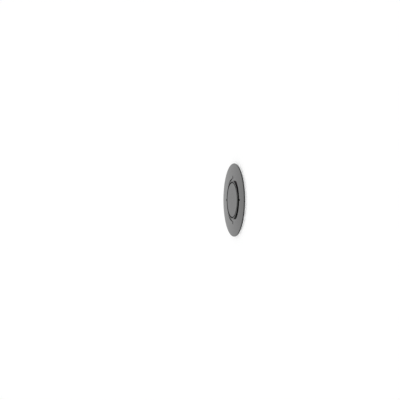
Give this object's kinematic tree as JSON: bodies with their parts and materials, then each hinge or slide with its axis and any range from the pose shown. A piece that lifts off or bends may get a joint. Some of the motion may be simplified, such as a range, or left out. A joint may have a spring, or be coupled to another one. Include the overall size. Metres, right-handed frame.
{
  "type": "phone mount plate",
  "caption": "Round adhesive mount plate for a phone: thin domed disc with a snap hub in a notched recess, on a clear adhesive pad.",
  "frame": {"origin": "centre of the pad's adhesive face, where the plate meets the phone", "axes": "+Z points away from the phone along the hub's axis; X and Y each pass through two opposite notches"},
  "size_m": [0.06, 0.06, 0.0034],
  "materials": {
    "black_plastic": "smooth satin black, fine moulded grain",
    "clear_adhesive": "clear acrylic adhesive, smooth"
  },
  "bodies": {
    "root": {"base_plate": "black_plastic", "locking_hub": "black_plastic", "adhesive_pad": "clear_adhesive"}
  },
  "joints": []
}
